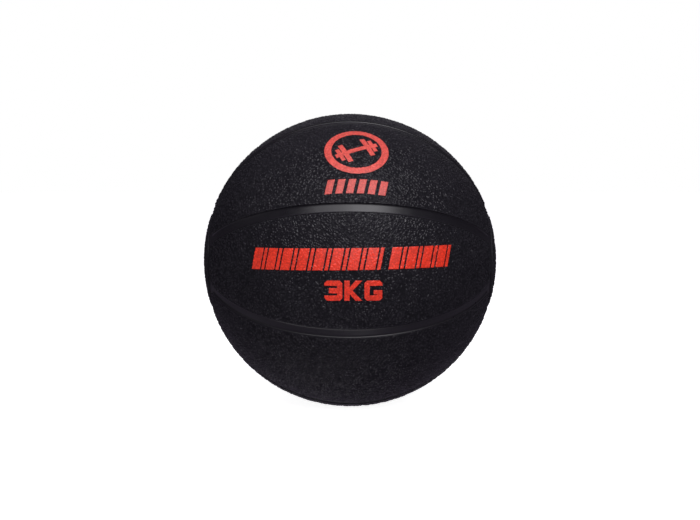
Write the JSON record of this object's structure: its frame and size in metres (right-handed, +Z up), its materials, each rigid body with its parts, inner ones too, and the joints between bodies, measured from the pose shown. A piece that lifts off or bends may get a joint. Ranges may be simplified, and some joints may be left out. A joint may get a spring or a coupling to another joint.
{
  "type": "medicine ball",
  "caption": "Inflatable rubber medicine ball with long pebbled panels, smooth recessed grooves, round end panels, red print and a needle valve at one pole.",
  "frame": {"origin": "centre of the ball", "axes": "+X through the right pole, where the valve is; -Y out of the middle of the printed front panel; +Z up, as the ball stands in the picture"},
  "size_m": [0.2299, 0.2301, 0.23],
  "materials": {
    "pebbled_rubber": "satin black rubber with a fine pebbled grain",
    "smooth_rubber": "smooth semi-gloss black rubber",
    "filled_rubber": "matt mineral-filled black rubber",
    "butyl_rubber": "matt black butyl rubber",
    "valve_rubber": "smooth matt black rubber",
    "nylon_thread": "off-white wound nylon thread",
    "red_ink": "matt red screen-printed ink that follows the pebbled grain"
  },
  "bodies": {
    "root": {"bladder": "butyl_rubber", "valve_body": "valve_rubber", "valve_insert": "valve_rubber", "nylon_winding": "nylon_thread", "carcass_half_left": "filled_rubber", "carcass_half_right": "filled_rubber", "front_panel": "pebbled_rubber", "upper_front_panel": "pebbled_rubber", "top_panel": "pebbled_rubber", "upper_rear_panel": "pebbled_rubber", "rear_panel": "pebbled_rubber", "lower_rear_panel": "pebbled_rubber", "bottom_panel": "pebbled_rubber", "lower_front_panel": "pebbled_rubber", "left_end_panel": "pebbled_rubber", "right_end_panel": "pebbled_rubber", "channel_strip_1": "smooth_rubber", "channel_strip_2": "smooth_rubber", "channel_strip_3": "smooth_rubber", "channel_strip_4": "smooth_rubber", "channel_strip_5": "smooth_rubber", "channel_strip_6": "smooth_rubber", "channel_strip_7": "smooth_rubber", "channel_strip_8": "smooth_rubber", "left_ring_channel": "smooth_rubber", "right_ring_channel": "smooth_rubber", "emblem_print": "red_ink", "short_bar_print": "red_ink", "block_row_print": "red_ink", "weight_print": "red_ink"}
  },
  "joints": []
}
